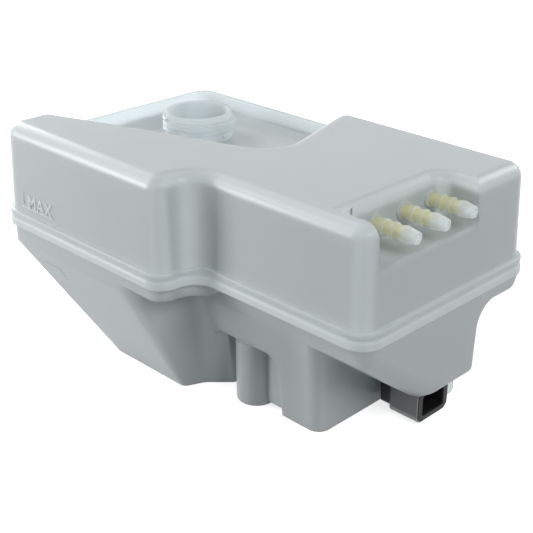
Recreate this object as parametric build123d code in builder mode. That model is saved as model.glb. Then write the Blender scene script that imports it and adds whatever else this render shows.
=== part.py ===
from build123d import *
import os
from math import radians, tan

# Coolant expansion tank, in millimetres. The tank stands on its deep parts at z = 0, with
# its long side along X and its filler neck at the back of the left end.
# Places in plan are given from the left and front edges of the weld flange.

# Overall size
length = 318.0
width = 198.0
seam_height = 89.0
upper_height = 68.0
wall = 3.0
draft = 2.0

# Plan outline of the weld flange: rounded corners and one step at the front
corner_radius = 16.0
step_depth = 31.0
step_at = 177.0
step_radius = 15.2

# Weld flange
flange_up = 5.0
flange_down = 7.0
bead_height = 1.2
bead_inset = 0.7
flange_round = 1.0
upper_lip_inset = 0.3
upper_inset = 2.3
upper_end_inset = 1.1
lower_inset = 3.7

# Raised top and the sunken filler tray
top_round = 10.0
tray_floor = 42.0
tray_rim = 53.0
rim_thickness = 3.0
tray_left_end = 40.6
tray_bend = (52.0, 58.6)
tray_corner = (181.5, 99.5)
tray_back_right = 152.5
tray_corner_radius = 20.0
tray_bend_radius = 60.0
raised_corner_round = 11.0

# Filler neck
neck_x = 64.0
neck_y = width - 62.0
neck_top = 60.0
neck_radius = 24.6
neck_bore = 21.8
thread_root_radius = 25.5
thread_radius = 27.2
thread_pitch = 4.0
thread_turns = 2.7
thread_start = 3.2
thread_foot = 3.2
thread_crest = 1.4
thread_round = 0.5

# Nipple bay, cut into the top of the right end
bay_x = length - 33.5
bay_front = 46.5
bay_back = 140.0
bay_floor = 40.0
bay_round = 9.0
bay_floor_round = 5.0
bay_top_round = 9.0

# Hose nipples
nipple_height = 53.2
nipple_first = 74.5
nipple_pitch = 27.2
nipple_count = 3
nipple_tip_back = 0.5
nipple_tip = length - nipple_tip_back
nipple_root_radius = 4.3
nipple_barb_radius = 5.3
nipple_tip_radius = 3.8
nipple_collar_radius = 5.8
nipple_collar = 2.0
nipple_barb_pitch = 7.0
nipple_barb_rise = 4.0
nipple_barb_step = 0.6
nipple_barb_count = 3
nipple_cone = 8.6
nipple_bore = 2.3

# Support sleeves inside the nipples
sleeve_radius = 3.1
sleeve_wall = 0.7
sleeve_clearance = 0.1
sleeve_tail = 1.0

# Lower shell
skirt_depth = 16.0
skirt_end_low = 185.0
skirt_end_high = 198.0
skirt_end_back = 60.0
hopper_overlap = 6.0
foot_top_back = width - 26.0
foot_bottom_back = width - 58.0
foot_top = (
    (lower_inset, lower_inset),
    (142.0, lower_inset),
    (166.0, 40.0),
    (191.0, 42.5),
    (191.0, foot_top_back),
    (lower_inset, foot_top_back),
)
foot_top_rounds = (10.0, 22.0, -16.0, 3.5, 10.0, 10.0)
foot_bottom = (
    (86.0, 26.8),
    (165.0, 26.8),
    (171.0, 41.0),
    (185.5, 55.5),
    (185.5, foot_bottom_back),
    (86.0, foot_bottom_back),
)
foot_bottom_rounds = (10.0, 5.0, -14.0, 3.5, 10.0, 10.0)
foot_top_height = seam_height - 21.0
bridge_floor = seam_height - 44.2
bridge_left = 170.0
bridge_right = length - 56.0
bridge_back = width - 38.0
bridge_round = 4.0
sump_left = length - 83.0
sump_left_round = 3.5
sump_right = length - 48.3
sump_right_lean = 5.5
sump_front = 48.6
front_crease = 40.2
front_crease_height = seam_height - 22.2
front_top = 35.7
sump_back = width - 76.0
sump_round = 9.0
column_x = sump_left - 26.4
column_y = 53.6
column_radius = 13.5
column_foot_round = 1.5
column_wall = 4.5
arch_radius = 12.0
foot_arch_x = 176.0
web_left = sump_left - 16.5
web_front = 50.0
web_bottom = 4.0
web_round = 6.0
block_left = length - 86.0
block_right_inset = 1.2
block_floor = 24.0
block_front = 95.0
block_back = width - 47.5
block_shelf = seam_height - 19.0
block_shelf_back = width - 12.0
block_corner_round = 12.0
block_back_round = 7.0
block_shelf_round = 14.0
block_shelf_edge_round = 9.0
block_edge_round = 4.0

# Level sensor under the right end, in its sleeve-shaped holder
holder_left = length - 33.5
holder_right = length - 11.5
holder_front = 99.8
holder_back = 131.8
holder_bottom = 1.0
holder_floor = 1.6
holder_wall = 2.6
holder_round = 5.0
sensor_left = holder_left - 9.9
sensor_right = holder_right - 0.6
sensor_top = block_floor - 1.6
sensor_clearance = 0.15
sensor_wall = 2.2
socket_depth = 19.0
cap_thickness = 2.5
terminal_width = 2.4
terminal_thickness = 0.8
terminal_spacing = 7.0
terminal_length = 18.0
terminal_start = sensor_left + 6.4
terminal_slot_width = 2.8
terminal_slot_height = 1.2
cap_spigot = 3.0
reed_radius = 1.4
reed_length = 13.0
reed_lead = 0.4
reed_lead_bend = 8.0
eye_length = 10.0
eye_bottom = 7.0
eye_thickness = 3.0
eye_place = length - 17.0
eye_hole = 2.4

# Float that slides on its post above the sensor
float_x = length - 32.0
float_y = 128.0
float_radius = 11.0
float_height = 15.0
float_travel = 22.0
float_round = 2.0
float_clearance = 0.4
float_seat = 0.3
post_radius = 3.4
post_over = 3.0
magnet_radius = 7.0
magnet_height = 4.0
magnet_clearance = 0.1
clip_thickness = 1.2
clip_radius = 6.5
clip_clearance = 0.1


def at(x, y):
    """A place in plan, given from the left and front edges of the flange."""
    return (x - length / 2, y - width / 2)


def draft_inset(rise):
    """How far a wall with draft leans in over a rise."""
    return rise * tan(radians(draft))


def tank_outline(height, inset, end_inset=0.0, near_round=corner_radius):
    """Plan outline of the tank at a height, pulled in from the flange's edge, more so at its ends."""
    left = inset + end_inset
    right = length - inset - end_inset
    corners = (
        at(left, inset),
        at(step_at - inset, inset),
        at(step_at - inset, step_depth + inset),
        at(right, step_depth + inset),
        at(right, width - inset),
        at(left, width - inset),
    )
    outer = corner_radius - inset
    near = max(near_round - inset, 0)
    rounds = (outer, step_radius - inset, step_radius + inset, near, outer, outer)
    with BuildSketch(Plane.XY.offset(height)) as plan:
        with BuildLine():
            FilletPolyline(*corners, radius=rounds, close=True)
        make_face()
    return plan.sketch


def drafted_body(low, high, inset):
    """Block between two heights above the seam, with walls that lean in upwards."""
    with BuildPart() as body:
        plan_inset = upper_inset + draft_inset(low) + inset
        add(tank_outline(seam_height + low, plan_inset, upper_end_inset))
        extrude(amount=high - low, taper=draft)
    return body.part


def tray_plan(height, inset):
    """Plan of the sunken filler tray, past the tank's left and back walls."""
    beyond = 30.0
    slope = (tray_bend[1] - tray_left_end) / tray_bend[0]
    corners = (
        at(-beyond, tray_left_end - beyond * slope),
        at(*tray_bend),
        at(*tray_corner),
        at(tray_back_right, width),
        at(tray_back_right, width + beyond),
        at(-beyond, width + beyond),
    )
    rounds = (0, tray_bend_radius, tray_corner_radius, 0, 0, 0)
    with BuildSketch(Plane.XY.offset(height)) as plan:
        with BuildLine():
            FilletPolyline(*corners, radius=rounds, close=True)
        make_face()
        if inset > 0:
            offset(amount=inset, mode=Mode.REPLACE)
    return plan.sketch


def raised_top(low, inset):
    """The raised part of the top, round the filler tray, with its soft upper edge."""
    start = seam_height + low
    with BuildPart() as body:
        with BuildSketch(Plane.XY.offset(start)) as plan:
            add(tank_outline(start, upper_inset + draft_inset(low) + inset, upper_end_inset))
            add(tray_plan(start, inset), mode=Mode.SUBTRACT)
            left_end = at(0, tray_left_end + inset)
            back_end = at(tray_back_right + inset, width)
            ends = [plan.vertices().sort_by_distance((*end, start))[0] for end in (left_end, back_end)]
            fillet(ends, raised_corner_round - inset)
        extrude(amount=upper_height - low - inset, taper=draft)
        fillet(body.edges().group_by(Axis.Z)[-1], top_round - inset)
    return body.part


def bay_soft_edge(inset):
    """What the soft upper edge takes off above the bay's inner and back walls."""
    reach = bay_top_round - inset
    top = seam_height + upper_height - inset
    start = at(bay_x - inset, bay_front - inset)
    with BuildLine() as route:
        FilletPolyline(
            (*start, top),
            (*at(bay_x - inset, bay_back + inset), top),
            (*at(length + wall, bay_back + inset), top),
            radius=bay_round + inset,
        )
    with BuildPart() as strip:
        with BuildSketch(Plane(origin=(*start, top), x_dir=(1, 0, 0), z_dir=(0, 1, 0))):
            with BuildLine():
                Line((0, 0), (-reach, 0))
                RadiusArc((-reach, 0), (0, reach), -reach)
                Line((0, reach), (0, 0))
            make_face()
        sweep(path=route.line)
    return strip.part


def bay_space(inset):
    """The nipple bay at the right end, grown by inset for the wall round it."""
    low = seam_height + bay_floor - inset
    with BuildPart() as space:
        with BuildSketch(Plane.XY.offset(low)):
            with BuildLine():
                FilletPolyline(
                    at(bay_x - inset, bay_front - inset),
                    at(length + wall, bay_front - inset),
                    at(length + wall, bay_back + inset),
                    at(bay_x - inset, bay_back + inset),
                    radius=(bay_round + inset, 0, 0, bay_round + inset),
                    close=True,
                )
            make_face()
        extrude(amount=upper_height)
        fillet(space.edges().group_by(Axis.Z)[0].sort_by(Axis.X)[:-1], bay_floor_round)
    return space.part


def flange_ring(low, high, inset):
    """One half of the weld flange, as a slab with rounded edges."""
    with BuildPart() as ring:
        add(tank_outline(seam_height + low, inset))
        extrude(amount=high - low)
        fillet(ring.edges().group_by(Axis.Z)[0], flange_round)
        fillet(ring.edges().group_by(Axis.Z)[-1], flange_round)
    return ring.part


def weld_bead(low):
    """One half of the weld bead between the two flanges."""
    with BuildPart() as strip:
        add(tank_outline(seam_height + low, bead_inset))
        extrude(amount=bead_height)
    return strip.part


nipple_rows = [nipple_first + index * nipple_pitch for index in range(nipple_count)]
nipple_root = bay_x - wall
barbs_end = nipple_tip - nipple_cone


def turned_along_x(points, x, y, height):
    """A shape turned about a line along X, from points given along and off that line."""
    centre = (*at(x, y), height)
    with BuildPart() as turned:
        with BuildSketch(Plane(origin=centre, x_dir=(1, 0, 0), z_dir=(0, -1, 0))):
            with BuildLine():
                Polyline(*points, close=True)
            make_face()
        revolve(axis=Axis(centre, (1, 0, 0)))
    return turned.part


def nipple(row):
    """A hose nipple with its collar and its barbs."""
    collar_end = wall + nipple_collar
    points = [(0, 0), (0, nipple_collar_radius), (collar_end, nipple_collar_radius)]
    points.append((collar_end, nipple_root_radius))
    for index in range(nipple_barb_count):
        barbs_left = nipple_barb_count - 1 - index
        crest = barbs_end - nipple_root - barbs_left * nipple_barb_pitch
        points.append((crest - nipple_barb_rise, nipple_root_radius))
        points.append((crest, nipple_barb_radius))
        if barbs_left > 0:
            points.append((crest + nipple_barb_step, nipple_root_radius))
    points.append((nipple_tip - nipple_root, nipple_tip_radius))
    points.append((nipple_tip - nipple_root, 0))
    return turned_along_x(points, nipple_root, row, seam_height + nipple_height)


def nipple_hole(row):
    """The hole through a nipple, wide enough for its sleeve up to the last barb."""
    wide = sleeve_radius + sleeve_clearance
    stop = barbs_end - nipple_root
    end = nipple_tip - nipple_root + wall
    points = ((-wall, 0), (-wall, wide), (stop, wide), (stop, nipple_bore), (end, nipple_bore), (end, 0))
    return turned_along_x(points, nipple_root, row, seam_height + nipple_height)


def upper_space():
    """The hollow inside the upper shell."""
    under_tray = tray_floor - wall
    with BuildPart() as space:
        add(drafted_body(0, under_tray, wall))
        add(raised_top(under_tray - 1.0, wall))
        add(bay_space(wall), mode=Mode.SUBTRACT)
    return space.part


def neck_thread():
    """The coarse thread round the filler neck, on its slightly thicker root."""
    low = seam_height + tray_floor + thread_start
    rise = thread_radius - thread_root_radius
    with BuildPart() as thread:
        with BuildLine() as route:
            Helix(
                thread_pitch,
                thread_pitch * thread_turns,
                thread_root_radius,
                center=(*neck_place, low),
            )
        with BuildSketch(Plane(origin=route.line @ 0, x_dir=(1, 0, 0), z_dir=route.line % 0)):
            with BuildLine():
                FilletPolyline(
                    (-thread_round, -thread_foot / 2),
                    (rise, -thread_crest / 2),
                    (rise, thread_crest / 2),
                    (-thread_round, thread_foot / 2),
                    radius=(0, thread_round, thread_round, 0),
                    close=True,
                )
            make_face()
        sweep(path=route.line, is_frenet=True)
        with BuildSketch(Plane.XY.offset(seam_height + tray_floor)):
            with Locations(neck_place):
                Circle(thread_root_radius)
                Circle(neck_bore, mode=Mode.SUBTRACT)
        extrude(amount=thread_start + thread_pitch * thread_turns)
    return thread.part


neck_place = at(neck_x, neck_y)
with BuildPart() as upper_shell:
    add(drafted_body(0, tray_rim, 0))
    add(drafted_body(tray_floor, tray_rim + 1, rim_thickness), mode=Mode.SUBTRACT)
    add(raised_top(tray_floor - 1.0, 0))
    add(bay_space(0), mode=Mode.SUBTRACT)
    add(bay_soft_edge(0), mode=Mode.SUBTRACT)
    add(flange_ring(bead_height, flange_up, upper_lip_inset))
    add(weld_bead(0))
    with BuildSketch(Plane.XY.offset(seam_height + tray_floor - wall)):
        with Locations(neck_place):
            Circle(neck_radius)
    extrude(amount=neck_top - tray_floor + wall)
    add(neck_thread())
    for row in nipple_rows:
        add(nipple(row))
    add(upper_space(), mode=Mode.SUBTRACT)
    for row in nipple_rows:
        add(nipple_hole(row), mode=Mode.SUBTRACT)
    with Locations((*neck_place, seam_height + neck_top)):
        Hole(neck_bore, depth=neck_top - tray_floor + wall + 1.0)
upper_shell.part.label = "upper_shell"


def plan_polygon(points, rounds, height, inset):
    """A closed plan polygon pulled in by inset, with a round for each corner, below 0 where hollow."""
    corners = [at(*point) for point in points]
    with BuildSketch(Plane.XY.offset(height)) as plan:
        with BuildLine():
            Polyline(*corners, close=True)
        make_face()
        if inset > 0:
            offset(amount=-inset, kind=Kind.INTERSECTION, mode=Mode.REPLACE)
        for corner, radius in zip(corners, rounds):
            fillet(plan.vertices().sort_by_distance((*corner, height))[0], abs(radius - inset))
    return plan.sketch


def plan_box(left, right, front, back):
    """The four corners of a rectangle in plan."""
    return ((left, front), (right, front), (right, back), (left, back))


def front_face(height):
    """How far back the right front face of the deep parts stands at a height."""
    if height < front_crease_height:
        return sump_front + (front_crease - sump_front) * height / front_crease_height
    rise = seam_height - hopper_overlap - front_crease_height
    return front_crease + (front_top - front_crease) * (height - front_crease_height) / rise


def foot(inset):
    """The deep left part, which narrows to a long foot."""
    with BuildPart() as body:
        top = plan_polygon(foot_top, foot_top_rounds, foot_top_height, inset)
        low_plan = plan_polygon(foot_bottom, foot_bottom_rounds, inset, inset)
        loft([low_plan, top], ruled=True)
        add(top)
        extrude(amount=seam_height - hopper_overlap - foot_top_height)
    return body.part


def front_body(left, right, back, low, inset, left_round, right_round, right_lean=0.0):
    """A deep part behind the slanted right front face, from a floor up to the skirt."""
    high = seam_height - hopper_overlap
    rounds = (left_round, right_round, right_round, left_round)
    plans = []
    for height, rise in ((low, inset), (front_crease_height, 0.0), (high, 0.0)):
        lean = right_lean * (height - low) / (high - low)
        corners = plan_box(left, right + lean, front_face(height), back)
        plans.append(plan_polygon(corners, rounds, height + rise, inset))
    with BuildPart() as body:
        loft(plans, ruled=True)
    return body.part


def bridge(low, inset):
    """The shallow part between the foot and the sump, from a floor up to the skirt."""
    return front_body(
        bridge_left, bridge_right, bridge_back, low, inset, bridge_round, bridge_round
    )


def sump(inset):
    """The deepest part, whose right wall leans out upwards."""
    return front_body(
        sump_left, sump_right, sump_back, 0.0, inset, sump_left_round, sump_round, sump_right_lean
    )


def arch(wall_x, side):
    """The rounded corner under the bridge where it meets the upright wall on one side."""
    far = at(wall_x - side * arch_radius, 0)[0]
    near = at(wall_x, 0)[0]
    inside = at(wall_x + side * sump_left_round, 0)[0]
    low = bridge_floor - arch_radius
    with BuildPart() as corner:
        with BuildSketch(Plane.XZ.offset(-at(0, sump_back - sump_left_round)[1])):
            with BuildLine():
                RadiusArc((far, bridge_floor), (near, low), side * arch_radius)
                Polyline(
                    (near, low),
                    (inside, low),
                    (inside, bridge_floor + wall),
                    (far, bridge_floor + wall),
                    (far, bridge_floor),
                )
            make_face()
        extrude(amount=sump_back - sump_left_round)
        add(bridge(0.0, 0.0), mode=Mode.INTERSECT)
    return corner.part


def right_block(inset):
    """The right end below the flange, with a slanted front and a shelf at the back."""
    high = seam_height - hopper_overlap
    back = width - lower_inset - inset
    profile = (
        (front_face(high) + inset, high),
        (front_crease + inset, front_crease_height + inset),
        (block_front + inset, block_floor + inset),
        (block_back - inset, block_floor + inset),
        (block_back - inset, block_shelf + inset),
        (block_shelf_back - inset, block_shelf + inset),
        (back, high),
    )
    left = at(block_left + inset, 0)[0]
    right = at(length - block_right_inset - inset, 0)[0]
    rounds = (0, 0, 0, 0, block_shelf_round + inset, block_shelf_edge_round - inset, 0)
    with BuildPart() as body:
        with BuildSketch(Plane.YZ.offset(left)):
            with BuildLine():
                FilletPolyline([(y - width / 2, z) for y, z in profile], radius=rounds, close=True)
            make_face()
        extrude(amount=right - left)
        add(tank_outline(seam_height, block_right_inset + inset, near_round=0.0))
        extrude(amount=-seam_height, taper=draft, mode=Mode.INTERSECT)
        middle = (left + right) / 2
        side = at(length - block_right_inset, 0)[0]
        crease = (front_crease, front_crease_height)
        places = ((front_face(high), high), crease, (block_front, block_floor))
        corners = []
        for upper, lower in zip(places[:-1], places[1:]):
            middle_y = at(0, (upper[0] + lower[0]) / 2)[1]
            point = (side, middle_y, (upper[1] + lower[1]) / 2)
            corners.append(body.edges().sort_by_distance(point)[0])
        fillet(corners, block_corner_round - inset)
        back_edge = (side, at(0, block_back)[1], (block_floor + block_shelf) / 2)
        fillet(body.edges().sort_by_distance(back_edge)[0], block_back_round - inset)
        low_edges = body.edges().group_by(Axis.Z)[0].filter_by_position(Axis.X, middle - 1, side)
        fillet(low_edges, block_edge_round - inset)
    return body.part


def skirt(inset):
    """The band of wall right below the weld flange, which ends at the front past the step."""
    low = seam_height - skirt_depth
    high = seam_height - flange_down
    with BuildPart() as band:
        add(tank_outline(seam_height - skirt_depth + inset, lower_inset + inset))
        extrude(amount=skirt_depth - inset)
        with BuildSketch(Plane.XZ.offset(-at(0, skirt_end_back)[1])):
            with BuildLine():
                Polyline(
                    (at(skirt_end_low, 0)[0], low - wall),
                    (at(length, 0)[0], low - wall),
                    (at(length, 0)[0], high),
                    (at(skirt_end_high, 0)[0], high),
                    (at(skirt_end_low, 0)[0], low),
                    close=True,
                )
            make_face()
        extrude(amount=skirt_end_back, mode=Mode.SUBTRACT)
    return band.part


def lower_form(inset):
    """The lower shell's outer form, or with an inset the hollow inside it."""
    with BuildPart() as form:
        add(skirt(inset))
        add(foot(inset))
        add(bridge(bridge_floor, inset))
        add(sump(inset))
        add(right_block(inset))
    return form.part


def column(radius, low, high):
    """The round leg between the foot and the sump, and the hollow inside it."""
    with BuildPart() as leg:
        with BuildSketch(Plane.XY.offset(low)):
            with Locations(at(column_x, column_y)):
                Circle(radius)
        extrude(amount=high - low)
    return leg.part


holder_middle_y = (holder_front + holder_back) / 2
sensor_low = holder_bottom + holder_floor + sensor_clearance
sensor_middle_z = (sensor_low + sensor_top) / 2


def along_x(left, right, front, back, low, high, round_radius):
    """A bar along X with rounded edges along its length."""
    middle = ((front + back) / 2 - width / 2, (low + high) / 2)
    with BuildPart() as bar:
        with BuildSketch(Plane.YZ.offset(at(left, 0)[0])):
            with Locations(middle):
                RectangleRounded(back - front, high - low, round_radius)
        extrude(amount=right - left)
    return bar.part


def sensor_bar(left, right, inset, round_radius):
    """The sensor housing's form between two places, pulled in by inset."""
    gap = holder_wall + sensor_clearance + inset
    return along_x(
        left,
        right,
        holder_front + gap,
        holder_back - gap,
        sensor_low + inset,
        sensor_top - inset,
        round_radius,
    )


def web():
    """The upright plate between the column and the sump."""
    with BuildPart() as plate:
        with BuildSketch(Plane.XZ.offset(-at(0, web_front)[1])):
            with BuildLine():
                FilletPolyline(
                    (at(web_left, 0)[0], web_bottom),
                    (at(sump_left + wall, 0)[0], web_bottom),
                    (at(sump_left + wall, 0)[0], bridge_floor + wall),
                    (at(web_left, 0)[0], bridge_floor + wall),
                    radius=(web_round, 0, 0, 0),
                    close=True,
                )
            make_face()
        extrude(amount=-wall)
    return plate.part


def eye():
    """The eye beside the holder that the car's wiring clip snaps into."""
    eye_top = block_floor + 1.0
    eye_back = holder_back + eye_length
    with BuildPart() as lug:
        with BuildSketch(Plane.YZ.offset(at(eye_place, 0)[0])):
            with BuildLine():
                FilletPolyline(
                    (at(0, holder_back - 1.0)[1], eye_bottom),
                    (at(0, eye_back)[1], eye_bottom),
                    (at(0, eye_back)[1], eye_top),
                    (at(0, holder_back - 1.0)[1], eye_top),
                    radius=(0, eye_thickness, 0, 0),
                    close=True,
                )
            make_face()
            with Locations((at(0, holder_back + eye_length / 2)[1], (eye_bottom + block_floor) / 2)):
                Circle(eye_hole, mode=Mode.SUBTRACT)
        extrude(amount=eye_thickness)
    return lug.part


post_base = block_floor + wall
float_low = post_base + float_seat
clip_low = float_low + float_height + float_travel + float_seat
post_top = clip_low + clip_thickness + post_over

with BuildPart() as lower_shell:
    add(lower_form(0))
    add(column(column_radius, 0.0, bridge_floor))
    foot_edges = lower_shell.edges().group_by(Axis.Z)[0]
    fillet(foot_edges.sort_by_distance((*at(column_x, column_y), 0))[0], column_foot_round)
    add(arch(sump_left + sump_left_round, 1))
    add(arch(foot_arch_x, -1))
    add(web())
    add(eye())
    add(flange_ring(-flange_down, -bead_height, 0.0))
    add(weld_bead(-bead_height))
    add(along_x(holder_left, holder_right, holder_front, holder_back, holder_bottom,
                block_floor + wall, holder_round))
    add(lower_form(wall), mode=Mode.SUBTRACT)
    add(
        column(column_radius - column_wall, column_wall, bridge_floor + 2 * wall),
        mode=Mode.SUBTRACT,
    )
    add(sensor_bar(holder_left - 1.0, holder_right + 1.0, -sensor_clearance, 2.5), mode=Mode.SUBTRACT)
    with BuildSketch(Plane.XY.offset(post_base - 0.5)):
        with Locations(at(float_x, float_y)):
            Circle(post_radius)
    extrude(amount=post_top - post_base + 0.5)
lower_shell.part.label = "lower_shell"

sleeves = []
for index, row in enumerate(nipple_rows):
    with BuildPart() as sleeve:
        start = nipple_root - sleeve_tail
        sleeve_length = barbs_end - start - sleeve_clearance
        centre = (*at(start, row), seam_height + nipple_height)
        with BuildSketch(Plane(origin=centre, x_dir=(0, 1, 0), z_dir=(1, 0, 0))):
            Circle(sleeve_radius)
            Circle(sleeve_radius - sleeve_wall, mode=Mode.SUBTRACT)
        extrude(amount=sleeve_length)
    sleeve.part.label = "nipple_sleeve_" + str(index + 1)
    sleeves.append(sleeve)

socket_floor = sensor_right - socket_depth
chamber_left = sensor_left + cap_thickness
sensor_round = 4.0
with BuildPart() as sensor_housing:
    add(sensor_bar(chamber_left, sensor_right, 0.0, sensor_round))
    add(sensor_bar(socket_floor, sensor_right + 1.0, sensor_wall, 2.0), mode=Mode.SUBTRACT)
    add(
        sensor_bar(chamber_left - 1.0, socket_floor - sensor_wall, sensor_wall, 2.0),
        mode=Mode.SUBTRACT,
    )
    for side in (-1, 1):
        with Locations(
            (
                *at(socket_floor - sensor_wall / 2, holder_middle_y + side * terminal_spacing / 2),
                sensor_middle_z,
            )
        ):
            Box(2 * sensor_wall, terminal_slot_width, terminal_slot_height, mode=Mode.SUBTRACT)
sensor_housing.part.label = "sensor_housing"

with BuildPart() as sensor_cap:
    add(sensor_bar(sensor_left, chamber_left, 0.0, sensor_round))
    add(sensor_bar(chamber_left, chamber_left + cap_spigot, sensor_wall + sensor_clearance, 1.5))
    add(
        sensor_bar(chamber_left, chamber_left + cap_spigot + 1.0, 2 * sensor_wall, 1.0),
        mode=Mode.SUBTRACT,
    )
sensor_cap.part.label = "sensor_cap"

terminals = []
for index, side in enumerate((-1, 1)):
    with BuildPart() as terminal:
        place = at(terminal_start + terminal_length / 2, holder_middle_y + side * terminal_spacing / 2)
        with Locations((*place, sensor_middle_z)):
            Box(terminal_length, terminal_width, terminal_thickness)
        chamfer(terminal.faces().sort_by(Axis.X)[-1].edges(), terminal_thickness / 3)
    terminal.part.label = "sensor_terminal_" + str(index + 1)
    terminals.append(terminal)

with BuildPart() as reed_switch:
    reed_x, middle_y = at((chamber_left + cap_spigot + socket_floor - sensor_wall) / 2, holder_middle_y)
    reed_z = sensor_top - sensor_wall - reed_radius - sensor_clearance
    with BuildSketch(Plane(origin=(reed_x, middle_y, reed_z), x_dir=(1, 0, 0), z_dir=(0, 1, 0))):
        Circle(reed_radius)
    extrude(amount=reed_length / 2, both=True)
    fillet(reed_switch.edges(), reed_radius * 0.6)
    for side in (-1, 1):
        terminal_side = middle_y + side * (terminal_spacing + terminal_width) / 2
        with BuildLine() as lead:
            Polyline(
                (reed_x, middle_y + side * (reed_length / 2 - reed_radius), reed_z),
                (reed_x, middle_y + side * reed_lead_bend, reed_z),
                (reed_x, middle_y + side * reed_lead_bend, sensor_middle_z),
                (reed_x, terminal_side, sensor_middle_z),
            )
        with BuildSketch(lead.line ^ 0):
            Circle(reed_lead)
        sweep(path=lead.line, transition=Transition.RIGHT)
reed_switch.part.label = "reed_switch"

float_place = at(float_x, float_y)
with BuildPart() as level_float:
    with BuildSketch(Plane.XY.offset(float_low)):
        with Locations(float_place):
            Circle(float_radius)
    extrude(amount=float_height)
    fillet(level_float.edges().group_by(Axis.Z)[-1], float_round)
    with Locations((*float_place, float_low + float_height)):
        Hole(post_radius + float_clearance, depth=float_height)
    with BuildSketch(Plane.XY.offset(float_low)):
        with Locations(float_place):
            Circle(magnet_radius)
    extrude(amount=magnet_height, mode=Mode.SUBTRACT)
level_float.part.label = "level_float"

with BuildPart() as float_magnet:
    with BuildSketch(Plane.XY.offset(float_low)):
        with Locations(float_place):
            Circle(magnet_radius - magnet_clearance)
            Circle(post_radius + float_clearance, mode=Mode.SUBTRACT)
    extrude(amount=magnet_height - magnet_clearance)
float_magnet.part.label = "float_magnet"

with BuildPart() as float_clip:
    with BuildSketch(Plane.XY.offset(clip_low)):
        with Locations(float_place):
            Circle(clip_radius)
            Circle(post_radius + clip_clearance, mode=Mode.SUBTRACT)
    extrude(amount=clip_thickness)
float_clip.part.label = "float_clip"

pieces = [upper_shell, lower_shell, *sleeves, sensor_housing, sensor_cap, *terminals]
pieces += [reed_switch, level_float, float_magnet, float_clip]

os.makedirs("parts", exist_ok=True)
for piece in pieces:
    print(piece.part.label, piece.part.volume, len(piece.part.solids()), piece.part.is_valid)
    export_step(piece.part, "parts/" + piece.part.label + ".step")
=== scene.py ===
import math
import bmesh
import bpy
from mathutils import Matrix, Vector


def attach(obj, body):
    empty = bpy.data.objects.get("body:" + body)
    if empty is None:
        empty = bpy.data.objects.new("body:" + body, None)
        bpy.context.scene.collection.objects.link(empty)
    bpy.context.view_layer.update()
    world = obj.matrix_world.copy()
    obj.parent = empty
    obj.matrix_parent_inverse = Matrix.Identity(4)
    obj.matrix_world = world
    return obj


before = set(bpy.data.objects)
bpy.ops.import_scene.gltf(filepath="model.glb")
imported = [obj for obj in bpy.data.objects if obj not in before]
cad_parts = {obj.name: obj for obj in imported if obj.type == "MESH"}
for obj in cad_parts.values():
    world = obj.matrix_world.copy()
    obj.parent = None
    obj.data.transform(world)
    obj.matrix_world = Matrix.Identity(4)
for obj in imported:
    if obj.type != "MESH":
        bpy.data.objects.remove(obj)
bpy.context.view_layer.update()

# Camera
# A long lens looks down on the tank's front right corner, with the hose nipples nearest,
# from the height of a product photograph.
camera_place = (0.49595, -0.48261, 0.389)
camera_tilt = 25.15
camera_turn = 45.0
camera_focal_pixels = 1091.7
frame_pixels = 533
camera_data = bpy.data.cameras.new("camera")
camera_data.sensor_width = 36.0
camera_data.lens = camera_focal_pixels / frame_pixels * camera_data.sensor_width
camera_data.clip_start = 0.02
camera_data.clip_end = 30.0
camera = bpy.data.objects.new("camera", camera_data)
camera.location = camera_place
camera.rotation_euler = (math.radians(90 - camera_tilt), 0, math.radians(camera_turn))
bpy.context.scene.collection.objects.link(camera)
bpy.context.scene.camera = camera
bpy.context.scene.view_settings.view_transform = "Standard"

# Studio
# A pale floor that keeps the tank's shadow, a white surround for the camera and for what
# gloss reflects, and seven large soft lamps all round and overhead.


class Value:
    """A number that runs between shader nodes and can be reckoned with as in plain Python."""

    def __init__(self, material, socket):
        self.material = material
        self.socket = socket

    def reckon(self, operation, *numbers):
        return self.material.node("Math", {"operation": operation}, numbers)

    def __add__(self, other):
        return self.reckon("ADD", self, other)

    def __radd__(self, other):
        return self.reckon("ADD", other, self)

    def __sub__(self, other):
        return self.reckon("SUBTRACT", self, other)

    def __rsub__(self, other):
        return self.reckon("SUBTRACT", other, self)

    def __mul__(self, other):
        return self.reckon("MULTIPLY", self, other)

    def __rmul__(self, other):
        return self.reckon("MULTIPLY", other, self)

    def __pow__(self, other):
        return self.reckon("POWER", self, other)

    def unsigned(self):
        """The number without its sign."""
        return self.reckon("ABSOLUTE", self)

    def most(self, other):
        """The larger of two numbers."""
        return self.reckon("MAXIMUM", self, other)

    def wrapped(self, low, high):
        """The number brought back between two others, as often as it takes."""
        return self.reckon("WRAP", self, high, low)

    def far(self, other):
        """How far from the origin a point is that has these two coordinates."""
        return (self * self + other * other) ** 0.5

    def ramp(self, low, high):
        """0 below low, 1 above high, and smooth in between."""
        settings = {"interpolation_type": "SMOOTHSTEP"}
        return self.material.node("MapRange", settings, {0: self, 1: low, 2: high})

    def fall(self, low, high):
        """1 below low, 0 above high, and smooth in between."""
        return 1 - self.ramp(low, high)

    def within(self, low, high, soft):
        """1 between two numbers and 0 outside them, with soft ends."""
        return self.ramp(low - soft, low + soft) * self.fall(high - soft, high + soft)


def strongest(*shares):
    """The largest of several masks, each times its own share."""
    parts = [mask * share for mask, share in shares]
    largest = parts[0]
    for part in parts[1:]:
        largest = largest.most(part)
    return largest


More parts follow.
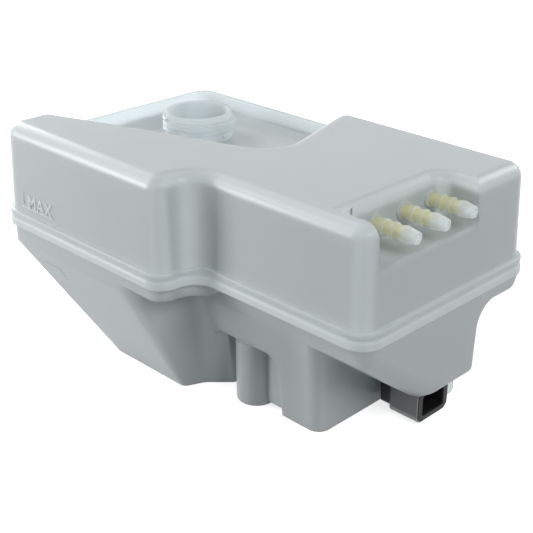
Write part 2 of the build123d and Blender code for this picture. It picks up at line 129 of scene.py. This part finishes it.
class Finish:
    """A node material, built up from nodes of any type."""

    def __init__(self, name, tree=None):
        if tree is None:
            self.material = bpy.data.materials.new(name)
            self.material.use_nodes = True
            tree = self.material.node_tree
        tree.nodes.clear()
        self.tree = tree

    def node(self, kind, settings=None, values=(), out=0):
        """Adds a node, sets its settings and then its inputs, and gives one of its outputs."""
        made = self.tree.nodes.new("ShaderNode" + kind)
        for key, value in (settings or {}).items():
            setattr(made, key, value)
        pairs = values.items() if isinstance(values, dict) else enumerate(values)
        for key, value in pairs:
            if isinstance(value, Value):
                self.tree.links.new(value.socket, made.inputs[key])
            else:
                made.inputs[key].default_value = value
        return Value(self, made.outputs[out]) if made.outputs else made

    def mix(self, factor, first, second):
        """A colour between two colours."""
        return self.node("Mix", {"data_type": "RGBA"}, {0: factor, 6: first, 7: second}, out=2)

    def place(self, stretch=(1, 1, 1)):
        """Where a point is on the piece, in metres, stretched along each axis."""
        spot = self.node("TexCoord", out="Object")
        return self.node("Mapping", None, {"Vector": spot, "Scale": stretch})

    def along(self, axis):
        """How far a point on the piece lies along X, Y or Z (0, 1 or 2), in metres."""
        return self.node("SeparateXYZ", None, [self.node("TexCoord", out="Object")], out=axis)

    def facing(self, axis):
        """How far the surface faces along X, Y or Z, from -1 to 1."""
        return self.node("SeparateXYZ", None, [self.node("NewGeometry", out="Normal")], out=axis)

    def noise(self, scale, detail=2.0, roughness=0.5, stretch=(1, 1, 1)):
        """Cloudy values round 0.5, with scale in waves per metre."""
        values = {"Vector": self.place(stretch), "Scale": scale}
        values.update({"Detail": detail, "Roughness": roughness})
        return self.node("TexNoise", None, values)

    def seen_white(self):
        """1 where the camera or a reflection looks straight at it, and 0 for its light."""
        camera_ray = self.node("LightPath", out="Is Camera Ray")
        glossy_ray = self.node("LightPath", out="Is Glossy Ray")
        clear_ray = self.node("LightPath", out="Is Transmission Ray")
        return camera_ray.most(glossy_ray).most(clear_ray)

    def rounded(self, radius, samples):
        """Normals that round every edge, with a radius in metres."""
        return self.node("Bevel", {"samples": samples}, {"Radius": radius})

    def bump(self, pattern, height, strength, normal=None):
        """Small relief, with its height in metres."""
        values = {"Height": pattern, "Distance": height, "Strength": strength}
        if normal is not None:
            values["Normal"] = normal
        return self.node("Bump", None, values)

    def grained(self, grain, colours, rough, relief, constants=None):
        """A material whose colour, roughness and relief follow one grain.

        The two colours are those of the grain's low and high places, rough is the roughness
        at the low ones and its rise, relief goes to bump, and constants are other inputs.
        """
        rough_low, rough_rise = rough
        values = {
            "Base Color": self.mix(grain, *colours),
            "Roughness": rough_low + grain * rough_rise,
            "Normal": self.bump(grain, *relief),
        }
        values.update(constants or {})
        return self.surface(self.node("BsdfPrincipled", None, values))

    def surface(self, shader):
        self.node("OutputMaterial", None, {"Surface": shader})
        return self.material


floor_finish = Finish("floor")
pale_floor = floor_finish.node("BsdfDiffuse", None, {"Color": (0.88, 0.89, 0.89, 1)})
white_glow = floor_finish.node("Emission", None, {"Color": (1, 1, 1, 1), "Strength": 0.72})
lit_floor = floor_finish.node("AddShader", None, [pale_floor, white_glow])
dim_floor = floor_finish.node("BsdfDiffuse", None, {"Color": (0.22, 0.225, 0.23, 1)})
floor_seen = floor_finish.seen_white()
floor_shader = floor_finish.node("MixShader", None, [floor_seen, dim_floor, lit_floor])
floor_size = 5.0
floor_drop = 0.0002
bpy.ops.mesh.primitive_plane_add(size=floor_size, location=(0, 0, -floor_drop))
floor = bpy.context.object
floor.name = "floor"
floor.data.materials.append(floor_finish.surface(floor_shader))

world = bpy.data.worlds.new("surround")
bpy.context.scene.world = world
world.use_nodes = True
surround = Finish("surround", world.node_tree)
soft_light = surround.node("Background", None, {"Color": (0.95, 0.98, 1.0, 1), "Strength": 0.1})
white_view = surround.node("Background", None, {"Color": (1, 1, 1, 1), "Strength": 1.0})
world_seen = surround.seen_white()
world_shader = surround.node("MixShader", None, [world_seen, soft_light, white_view])
surround.node("OutputWorld", None, {"Surface": world_shader})

for lamp_name, lamp_place, aim_height, lamp_size, lamp_power in (
    ("overhead", (-0.1, 0.1, 1.5), 0.1, 1.1, 1.2),
    ("front_left_high", (-1.0, -0.95, 1.0), 0.08, 0.5, 3.8),
    ("front_left_low", (-1.25, -1.25, 0.35), 0.06, 0.6, 12.6),
    ("front_right", (0.95, -1.1, 1.25), 0.08, 0.5, 2.2),
    ("right", (1.3, -0.2, 1.1), 0.08, 0.6, 7.8),
    ("left", (-1.6, 0.2, 0.7), 0.1, 0.7, 14.2),
    ("back", (0.35, 1.35, 0.85), 0.1, 0.5, 5.0),
):
    lamp_data = bpy.data.lights.new(lamp_name, "AREA")
    lamp_data.shape = "SQUARE"
    lamp_data.size = lamp_size
    lamp_data.energy = lamp_power
    lamp = bpy.data.objects.new(lamp_name, lamp_data)
    lamp.location = lamp_place
    aim = Vector((-lamp_place[0], -lamp_place[1], aim_height - lamp_place[2]))
    lamp.rotation_euler = aim.to_track_quat("-Z", "Y").to_euler()
    bpy.context.scene.collection.objects.link(lamp)

# Tank shells
# Two injection-moulded shells of milky polypropylene, welded together at the flange. The
# plastic is slightly cool and lets light through, and a painted glow, an emission, lights its
# rounded edges and thin walls.
milky = Finish("milky_plastic")
clouds = milky.noise(9.0, detail=3.0)
fine_clouds = milky.noise(55.0, detail=4.0, roughness=0.6)
tint = milky.mix(clouds, (0.74, 0.795, 0.80, 1), (0.78, 0.825, 0.835, 1))
tint = milky.mix(fine_clouds * 0.2, tint, (0.705, 0.75, 0.755, 1))
spot_x, spot_y, spot_z = [milky.along(axis) for axis in range(3)]
facing_x, facing_y, facing_z = [milky.facing(axis) for axis in range(3)]

# Places on the shells, in metres from the middle and above the ground. Of two numbers the
# mask rises or falls from the first to the second. Of three the last softens the ends.
tray_floor_round = (0.1308, 0.1345)
left_rim, back_rim, rim_end = (-0.1505, -0.1495), (0.0895, 0.0905), (-0.012, 0.0)
rim_corner_x, rim_corner_y, rim_corner_radius = -0.1417, 0.083, (0.0078, 0.0084)
corner_start = 0.0002
neck_x, neck_y, neck_radius = -0.095, 0.037, (0.028, 0.029)
nipple_y, nipple_pitch, nipple_z, nipple_radius = 0.0027, 0.0272, 0.1422, (0.0066, 0.007)
nipple_root, nipple_row = (0.126, 0.128), (-0.034, 0.0385, 0.0005)
eye_front, eye_top, eye_left = (0.0328, 0.0332), (0.0242, 0.0248), (0.141, 0.1415)

# Thin walls let more light through than the rest: the filler tray's rim and neck, the
# nipples and the small eye at the back of the sensor's holder.
above_tray = spot_z.ramp(*tray_floor_round)
corner_x = spot_x - rim_corner_x
corner_y = spot_y - rim_corner_y
corner_wall = corner_x.far(corner_y).ramp(*rim_corner_radius)
corner_wall = corner_wall * corner_x.fall(-corner_start, 0.0) * corner_y.ramp(0.0, corner_start)
rim_wall = spot_x.fall(*left_rim).most(spot_y.ramp(*back_rim)).most(corner_wall)
rim_wall = rim_wall * above_tray * spot_x.fall(*rim_end)
neck_wall = (spot_x - neck_x).far(spot_y - neck_y).fall(*neck_radius) * above_tray
half_pitch = nipple_pitch / 2
off_row = spot_y.wrapped(nipple_y - half_pitch, nipple_y + half_pitch) - nipple_y
off_axis = off_row.far(spot_z - nipple_z)
nipples = spot_x.ramp(*nipple_root) * off_axis.fall(*nipple_radius) * spot_y.within(*nipple_row)
eye = spot_y.ramp(*eye_front) * spot_z.fall(*eye_top) * spot_x.ramp(*eye_left)
thin = strongest((rim_wall, 0.8), (neck_wall, 0.5), (nipples, 0.4), (eye, 0.7))

# Painted highlight: the rounded edges, the flange's ribs and lower lip and the thin walls
# are given a soft emission glow that stands in for light caught in the plastic.
top_edge, top_slope, top_flat = (0.1465, 0.151), (0.05, 0.4), (0.9, 0.99)
bend, bend_front, above_seam = (0.0215, 0.055, 0.006), (-0.05, -0.045), (0.08, 0.084)
flange_band, rib_band, lip_band = (
    (0.0825, 0.0925, 0.0004),
    (0.0874, 0.0906, 0.0004),
    (0.0828, 0.0872, 0.0004),
)
top_round = spot_z.ramp(*top_edge) * facing_z.ramp(*top_slope) * facing_z.fall(*top_flat)
inner_bend = spot_x.within(*bend) * spot_y.fall(*bend_front)
corner_round = (facing_x * facing_y).unsigned().ramp(0.0, 0.5) * (1 - inner_bend)
corner_round = corner_round * (0.35 + 0.65 * spot_z.ramp(*above_seam))
flange_painted_highlight = 0.04 + 0.09 * facing_z.fall(-0.6, 0.2)
painted_edge_highlight = strongest(
    (top_round, 0.1),
    (rim_wall, 0.09),
    (corner_round, 0.12),
    (spot_z.within(*flange_band), flange_painted_highlight),
    (spot_z.within(*rib_band), 0.13),
    (spot_z.within(*lip_band), 0.12),
    (neck_wall, 0.03),
    (nipples, 0.12),
    (eye, 0.15),
)

# The brass sleeves in the nipples tint them yellow up to the last barb, least on the
# barbs' crests.
sleeve_end, barb_crest = (0.1494, 0.1504), (0.004, 0.0053)
over_sleeve = nipples * spot_x.fall(*sleeve_end) * (0.4 + 0.6 * off_axis.fall(*barb_crest))
tint = milky.mix(nipples, tint, (0.88, 0.91, 0.91, 1))
tint = milky.mix(over_sleeve, tint, (0.84, 0.85, 0.53, 1))
# The painted glow turns yellow over the sleeves too.
painted_glow_colour = milky.mix(over_sleeve, (0.9, 0.98, 1.0, 1), (0.95, 0.97, 0.62, 1))
painted_glow_colour = milky.mix(painted_edge_highlight, (0, 0, 0, 1), painted_glow_colour)

# The black sensor behind the holder's thin wall darkens it, down to a clear lower edge.
holder_ends, holder_sides = (0.1255, 0.1474, 0.0003), (0.0, 0.0332, 0.0001)
holder_heights = (0.0062, 0.0236, 0.0008)
holder = spot_x.within(*holder_ends) * spot_y.within(*holder_sides)
holder = holder * spot_z.within(*holder_heights)
tint = milky.mix(holder * 0.83, tint, (0.10, 0.105, 0.105, 1))

# Painted shade: the deep recess beside the foot, most on its walls that face +X, and the nipple
# bay are darkened in the base colour, where less light reaches them.
recess_ends, recess_top, recess_foot = (-0.002, 0.098, 0.012), (0.062, 0.084), (0.01, 0.05)
bay_root, bay_sides = (0.118, 0.127), (-0.0545, 0.043, 0.002)
bay_floor, bay_top = (0.1275, 0.1295), (0.146, 0.154)
painted_recess_shade = spot_x.within(*recess_ends) * spot_z.fall(*recess_top)
painted_recess_shade = painted_recess_shade * (0.28 + 0.47 * facing_x.ramp(0.2, 0.9))
painted_recess_shade = painted_recess_shade * (0.72 + 0.28 * spot_z.ramp(*recess_foot))
painted_bay_shade = spot_x.ramp(*bay_root) * spot_y.within(*bay_sides) * spot_z.ramp(*bay_floor)
painted_bay_shade = painted_bay_shade * (1 - nipples) * spot_z.fall(*bay_top)
tint = milky.mix(painted_recess_shade.most(painted_bay_shade * 0.07), tint, (0.13, 0.145, 0.155, 1))

# The bay's floor runs over its outer edge into the end wall in a large round, and the
# foot's front edge is as soft.
lip_start, lip_sides, lip_heights = (0.146, 0.151), (-0.056, 0.045, 0.001), (0.119, 0.134, 0.002)
foot_ends, foot_top, foot_bottom = (-0.06, 0.024, 0.008), (0.066, 0.074), (0.002, 0.02)
bay_lip = spot_x.ramp(*lip_start) * spot_y.within(*lip_sides) * spot_z.within(*lip_heights)
foot_edge = spot_x.within(*foot_ends) * spot_z.fall(*foot_top) * spot_z.ramp(*foot_bottom)
small_round = milky.rounded(0.0016, samples=6)
large_round = milky.rounded(0.008, samples=8)
soft_edges = milky.node(
    "Mix",
    {"data_type": "VECTOR"},
    {0: bay_lip.most(foot_edge), 4: small_round, 5: large_round},
    out=1,
)
# The emission carries the painted edge highlight and glow.
milky_shader = milky.node(
    "BsdfPrincipled",
    None,
    {
        "Base Color": tint,
        "Roughness": 0.3 + clouds * 0.08,
        "Normal": milky.bump(milky.noise(2600.0), 0.00003, 0.5, soft_edges),
        "IOR": 1.49,
        "Subsurface Weight": 0.25,
        "Subsurface Radius": (1.0, 1.05, 1.05),
        "Subsurface Scale": 0.006,
        "Coat Weight": 0.2,
        "Coat Roughness": 0.22,
        "Emission Color": painted_glow_colour,
        "Emission Strength": 1.0,
    },
)
light_through = milky.node("BsdfTranslucent", None, {"Color": (0.77, 0.80, 0.812, 1)})
share_through = 0.2 + thin * 0.5 - holder * 0.15
walls = milky.node("MixShader", None, [share_through, milky_shader, light_through])
see_through = milky.node("BsdfTransparent", None, {"Color": (0.96, 0.98, 0.97, 1)})
clear_share = strongest((nipples, 0.3), (eye, 0.4))
milky_material = milky.surface(milky.node("MixShader", None, [clear_share, walls, see_through]))


def dress(node_name, material):
    """Gives a CAD node its material."""
    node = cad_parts[node_name]
    node.data.materials.clear()
    node.data.materials.append(material)


for shell in ("upper_shell", "lower_shell"):
    dress(shell, milky_material)

# Level marks
# Thin raised letters and lines moulded on the front wall at the full level, painted a little
# paler than the wall and with a faint glow as painted light, and a raised line lower down on
# the ramp at the least level, painted a little darker as painted shade.
# The paler colour and the faint emission of the raised marks are painted light.
raised = Finish("raised_plastic")
raised_material = raised.surface(
    raised.node(
        "BsdfPrincipled",
        None,
        {
            "Base Color": raised.mix(
                raised.noise(60.0), (0.79, 0.845, 0.85, 1), (0.82, 0.865, 0.87, 1)
            ),
            "Roughness": 0.3 + raised.noise(200.0) * 0.06,
            "Normal": raised.bump(
                raised.noise(2600.0), 0.00002, 0.4, raised.rounded(0.0003, samples=4)
            ),
            "Subsurface Weight": 0.25,
            "Subsurface Radius": (1.0, 1.05, 1.05),
            "Subsurface Scale": 0.004,
            "Emission Color": (0.9, 0.98, 1.0, 1),
            "Emission Strength": 0.04,
        },
    )
)
# The least-level line's darker colour is painted shade, so it reads as a thin shaded edge.
shaded = Finish("shaded_plastic")
shaded_material = shaded.surface(
    shaded.node(
        "BsdfPrincipled",
        None,
        {
            "Base Color": shaded.mix(
                shaded.noise(60.0), (0.60, 0.65, 0.66, 1), (0.66, 0.71, 0.72, 1)
            ),
            "Roughness": 0.36 + shaded.noise(200.0) * 0.08,
            "Normal": shaded.bump(shaded.noise(900.0), 0.00002, 0.4),
        },
    )
)


def on_wall(name, data, origin, lean, material):
    """Turns a curve or text into a mesh that stands on a wall, lean degrees off upright."""
    made = bpy.data.objects.new(name + "_made", data)
    bpy.context.scene.collection.objects.link(made)
    bpy.context.view_layer.update()
    shaped = made.evaluated_get(bpy.context.evaluated_depsgraph_get())
    mesh = bpy.data.meshes.new_from_object(shaped)
    turn = Matrix.Rotation(math.radians(90 + lean), 4, "X")
    mesh.transform(Matrix.Translation(origin) @ turn)
    bpy.data.objects.remove(made)
    mesh.materials.clear()
    mesh.materials.append(material)
    mark = bpy.data.objects.new(name, mesh)
    bpy.context.scene.collection.objects.link(mark)
    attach(mark, "tank")


def raised_lines(name, lines, thickness, origin, lean, material):
    """Rounded raised lines through points given along and up the wall."""
    data = bpy.data.curves.new(name + "_curve", "CURVE")
    data.dimensions = "3D"
    data.bevel_depth = thickness
    data.bevel_resolution = 2
    data.use_fill_caps = True
    for points in lines:
        line = data.splines.new("POLY")
        line.points.add(len(points) - 1)
        for point, (along, up) in zip(line.points, points):
            point.co = (along, up, 0, 1)
    on_wall(name, data, origin, lean, material)


wall_lean = -2.0
full_level = (-0.1275, -0.0963, 0.0998)
letters = bpy.data.curves.new("level_letters_curve", "FONT")
letters.body = "MAX"
letters.size = 0.0135
letters.space_character = 1.02
letters.offset = 0.0002
letters.extrude = 0.0005
on_wall("level_letters", letters, full_level, wall_lean, raised_material)
full_lines = [
    [(-0.0053, 0.0103), (-0.0053, 0.0020)],
    [(-0.0062, 0.0036), (-0.0053, 0.0014), (-0.0044, 0.0036)],
    [(-0.0072, -0.0008), (0.0308, -0.0008)],
]
raised_lines("full_level_lines", full_lines, 0.0005, full_level, wall_lean, raised_material)
ramp_lean = 18.8
least_level = (-0.1273, -0.0923, 0.0594)
least_line = [[(0.0, 0.0), (0.0266, 0.0), (0.0303, -0.0059)]]
raised_lines("least_level_line", least_line, 0.00035, least_level, ramp_lean, shaded_material)

# Nipple sleeves
# Thin drawn brass tubes pressed into the nipples, whose colour shows through the plastic.
brass = Finish("sleeve_brass")
drawn_lines = brass.noise(900.0, detail=3.0, stretch=(0.05, 1, 1))
brass_colours = ((0.66, 0.52, 0.22, 1), (0.78, 0.64, 0.31, 1))
brass_material = brass.grained(
    drawn_lines, brass_colours, (0.24, 0.14), (0.00002, 0.4), {"Metallic": 1.0}
)
for index in (1, 2, 3):
    dress("nipple_sleeve_" + str(index), brass_material)

# Level sensor
# A black glass-filled housing with a plug socket and a thin frame round it, its pressed-in
# cap, two blade terminals and a glass reed switch.
black = Finish("black_plastic")
black_material = black.grained(
    black.noise(900.0, detail=3.0),
    ((0.006, 0.006, 0.007, 1), (0.014, 0.014, 0.015, 1)),
    (0.42, 0.15),
    (0.00004, 0.5, black.rounded(0.0004, samples=6)),
    {"Specular IOR Level": 0.35},
)
dress("sensor_housing", black_material)
dress("sensor_cap", black_material)
frame_x = 0.1473
frame_thickness = 0.0008
frame_centre_y, frame_centre_z = 0.0168, 0.0126
frame_outer, outer_round = (0.0152, 0.0108), 0.0048
frame_inner, inner_round = (0.0110, 0.0075), 0.0018


def rounded_ring(half_width, half_height, corner, steps=8):
    """Points round a rectangle with rounded corners, as pairs from its centre."""
    points = []
    for side_x, side_y, start in ((1, 1, 0), (-1, 1, 90), (-1, -1, 180), (1, -1, 270)):
        for step in range(steps + 1):
            turn = math.radians(start + 90 * step / steps)
            across = side_x * (half_width - corner) + corner * math.cos(turn)
            up = side_y * (half_height - corner) + corner * math.sin(turn)
            points.append((across, up))
    return points


socket_mesh = bmesh.new()
loops = []
for ring in (rounded_ring(*frame_outer, outer_round), rounded_ring(*frame_inner, inner_round)):
    for depth in (frame_x, frame_x + frame_thickness):
        loops.append(
            [
                socket_mesh.verts.new((depth, frame_centre_y + across, frame_centre_z + up))
                for across, up in ring
            ]
        )
for first, second in ((0, 1), (1, 3), (3, 2), (2, 0)):
    one, other = loops[first], loops[second]
    for index in range(len(one)):
        after = (index + 1) % len(one)
        socket_mesh.faces.new((one[index], one[after], other[after], other[index]))
bmesh.ops.recalc_face_normals(socket_mesh, faces=socket_mesh.faces)
socket_data = bpy.data.meshes.new("socket_frame")
socket_mesh.to_mesh(socket_data)
socket_mesh.free()
socket_data.materials.append(black_material)
socket_frame = bpy.data.objects.new("socket_frame", socket_data)
bpy.context.scene.collection.objects.link(socket_frame)
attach(socket_frame, "tank")

tinned = Finish("terminal_metal")
tinned_material = tinned.grained(
    tinned.noise(700.0, detail=3.0),
    ((0.62, 0.61, 0.57, 1), (0.76, 0.75, 0.71, 1)),
    (0.22, 0.16),
    (0.00002, 0.4),
    {"Metallic": 1.0},
)
glass = Finish("reed_glass")
glass_material = glass.grained(
    glass.noise(300.0),
    ((0.62, 0.78, 0.70, 1), (0.72, 0.85, 0.78, 1)),
    (0.05, 0.06),
    (0.00002, 0.3),
    {"Transmission Weight": 0.7, "IOR": 1.5},
)
dress("sensor_terminal_1", tinned_material)
dress("sensor_terminal_2", tinned_material)
dress("reed_switch", glass_material)

# Float
# A foamed plastic ring with a ferrite magnet let into its underside, and the push-on ring
# above it that ends its travel.
foam = Finish("float_plastic")
foam_material = foam.grained(
    foam.node("TexVoronoi", None, {"Vector": foam.place(), "Scale": 1400.0}),
    ((0.022, 0.022, 0.024, 1), (0.042, 0.042, 0.046, 1)),
    (0.5, 0.2),
    (0.00008, 0.6),
)
ferrite = Finish("magnet_ferrite")
ferrite_material = ferrite.grained(
    ferrite.noise(1800.0, detail=4.0),
    ((0.05, 0.05, 0.052, 1), (0.085, 0.083, 0.083, 1)),
    (0.45, 0.2),
    (0.00003, 0.6),
    {"Metallic": 0.3},
)
clip = Finish("clip_plastic")
clip_material = clip.grained(
    clip.noise(500.0, detail=3.0),
    ((0.70, 0.69, 0.64, 1), (0.78, 0.77, 0.72, 1)),
    (0.38, 0.15),
    (0.00003, 0.5),
)
dress("level_float", foam_material)
dress("float_magnet", ferrite_material)
dress("float_clip", clip_material)

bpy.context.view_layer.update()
